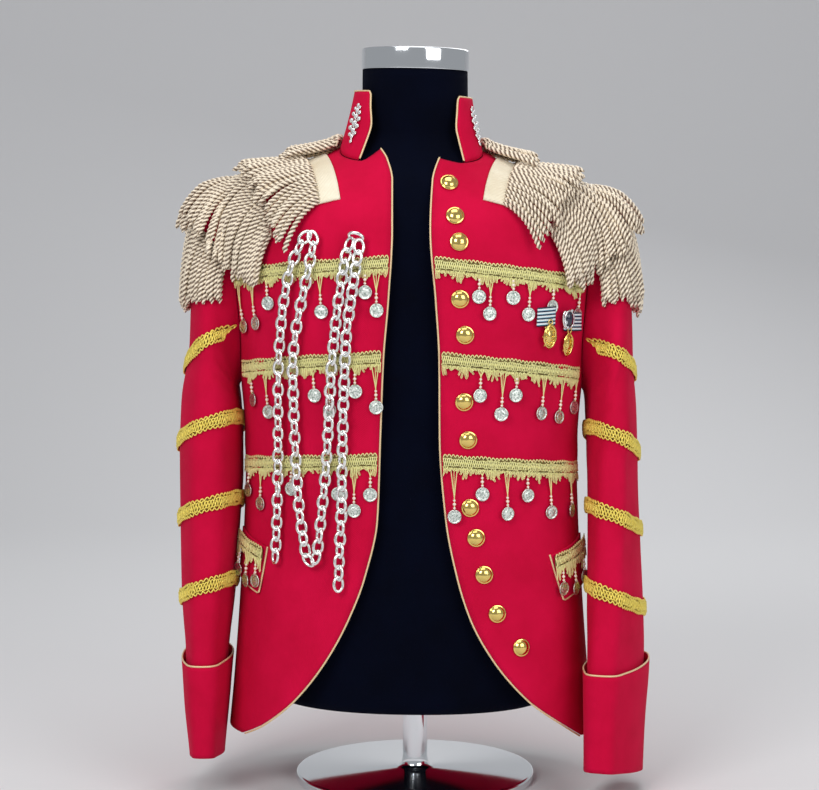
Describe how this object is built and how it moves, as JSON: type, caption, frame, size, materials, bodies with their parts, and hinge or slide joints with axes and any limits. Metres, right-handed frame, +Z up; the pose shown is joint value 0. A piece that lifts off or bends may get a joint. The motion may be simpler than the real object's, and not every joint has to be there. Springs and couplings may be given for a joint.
{
  "type": "stage jacket on dress form",
  "caption": "Red stage jacket with stand collar, gold braid, hanging coins, chain and fringed shoulders, worn open on a black limbless dress form on a round chrome stand.",
  "frame": {"origin": "centre of the underside of the stand's round base", "axes": "+Z up, the jacket's front faces -Y, +X towards the wearer's left"},
  "size_m": [0.5065, 0.2636, 0.79],
  "materials": {
    "red_cloth": "matt wool-like suiting",
    "black_jersey": "matt stretch jersey",
    "chrome": "polished",
    "brass": "polished",
    "gold_braid": "metallic thread",
    "deep_gold_braid": "metallic thread",
    "cream_cord": "twisted satin cord",
    "silver_chain": "polished links",
    "striped_ribbon": "woven stripes",
    "jewels": "clear stones in a silver setting"
  },
  "bodies": {
    "root": {"back": "red_cloth", "brooch": "jewels", "button_01": "brass", "button_02": "brass", "button_03": "brass", "button_04": "brass", "button_05": "brass", "button_06": "brass", "button_07": "brass", "button_08": "brass", "button_09": "brass", "button_10": "brass", "button_11": "brass", "button_12": "brass", "chest_braid_1_left": "gold_braid", "chest_braid_1_right": "gold_braid", "chest_braid_2_left": "gold_braid", "chest_braid_2_right": "gold_braid", "chest_braid_3_left": "gold_braid", "chest_braid_3_right": "gold_braid", "chest_chain": "silver_chain", "collar": "red_cloth", "collar_ornament_left": "jewels", "collar_ornament_right": "jewels", "cuff_left": "red_cloth", "cuff_right": "red_cloth", "dress_form": "black_jersey", "flap_braid_left": "gold_braid", "flap_braid_right": "gold_braid", "flap_left": "red_cloth", "flap_right": "red_cloth", "fringe_collar_left": "cream_cord", "fringe_collar_right": "cream_cord", "fringe_middle_left": "cream_cord", "fringe_middle_right": "cream_cord", "fringe_outer_left": "cream_cord", "fringe_outer_right": "cream_cord", "fringe_upper_left": "cream_cord", "fringe_upper_right": "cream_cord", "front_left": "red_cloth", "front_right": "red_cloth", "medal_left": "brass", "medal_ribbon_1": "striped_ribbon", "medal_ribbon_2": "striped_ribbon", "medal_right": "brass", "neck_cap": "chrome", "piping_collar": "gold_braid", "piping_left": "gold_braid", "piping_right": "gold_braid", "sleeve_braid_1_left": "deep_gold_braid", "sleeve_braid_1_right": "deep_gold_braid", "sleeve_braid_2_left": "deep_gold_braid", "sleeve_braid_2_right": "deep_gold_braid", "sleeve_braid_3_left": "deep_gold_braid", "sleeve_braid_3_right": "deep_gold_braid", "sleeve_braid_4_left": "deep_gold_braid", "sleeve_braid_4_right": "deep_gold_braid", "sleeve_left": "red_cloth", "sleeve_right": "red_cloth", "stand": "chrome"}
  },
  "joints": []
}
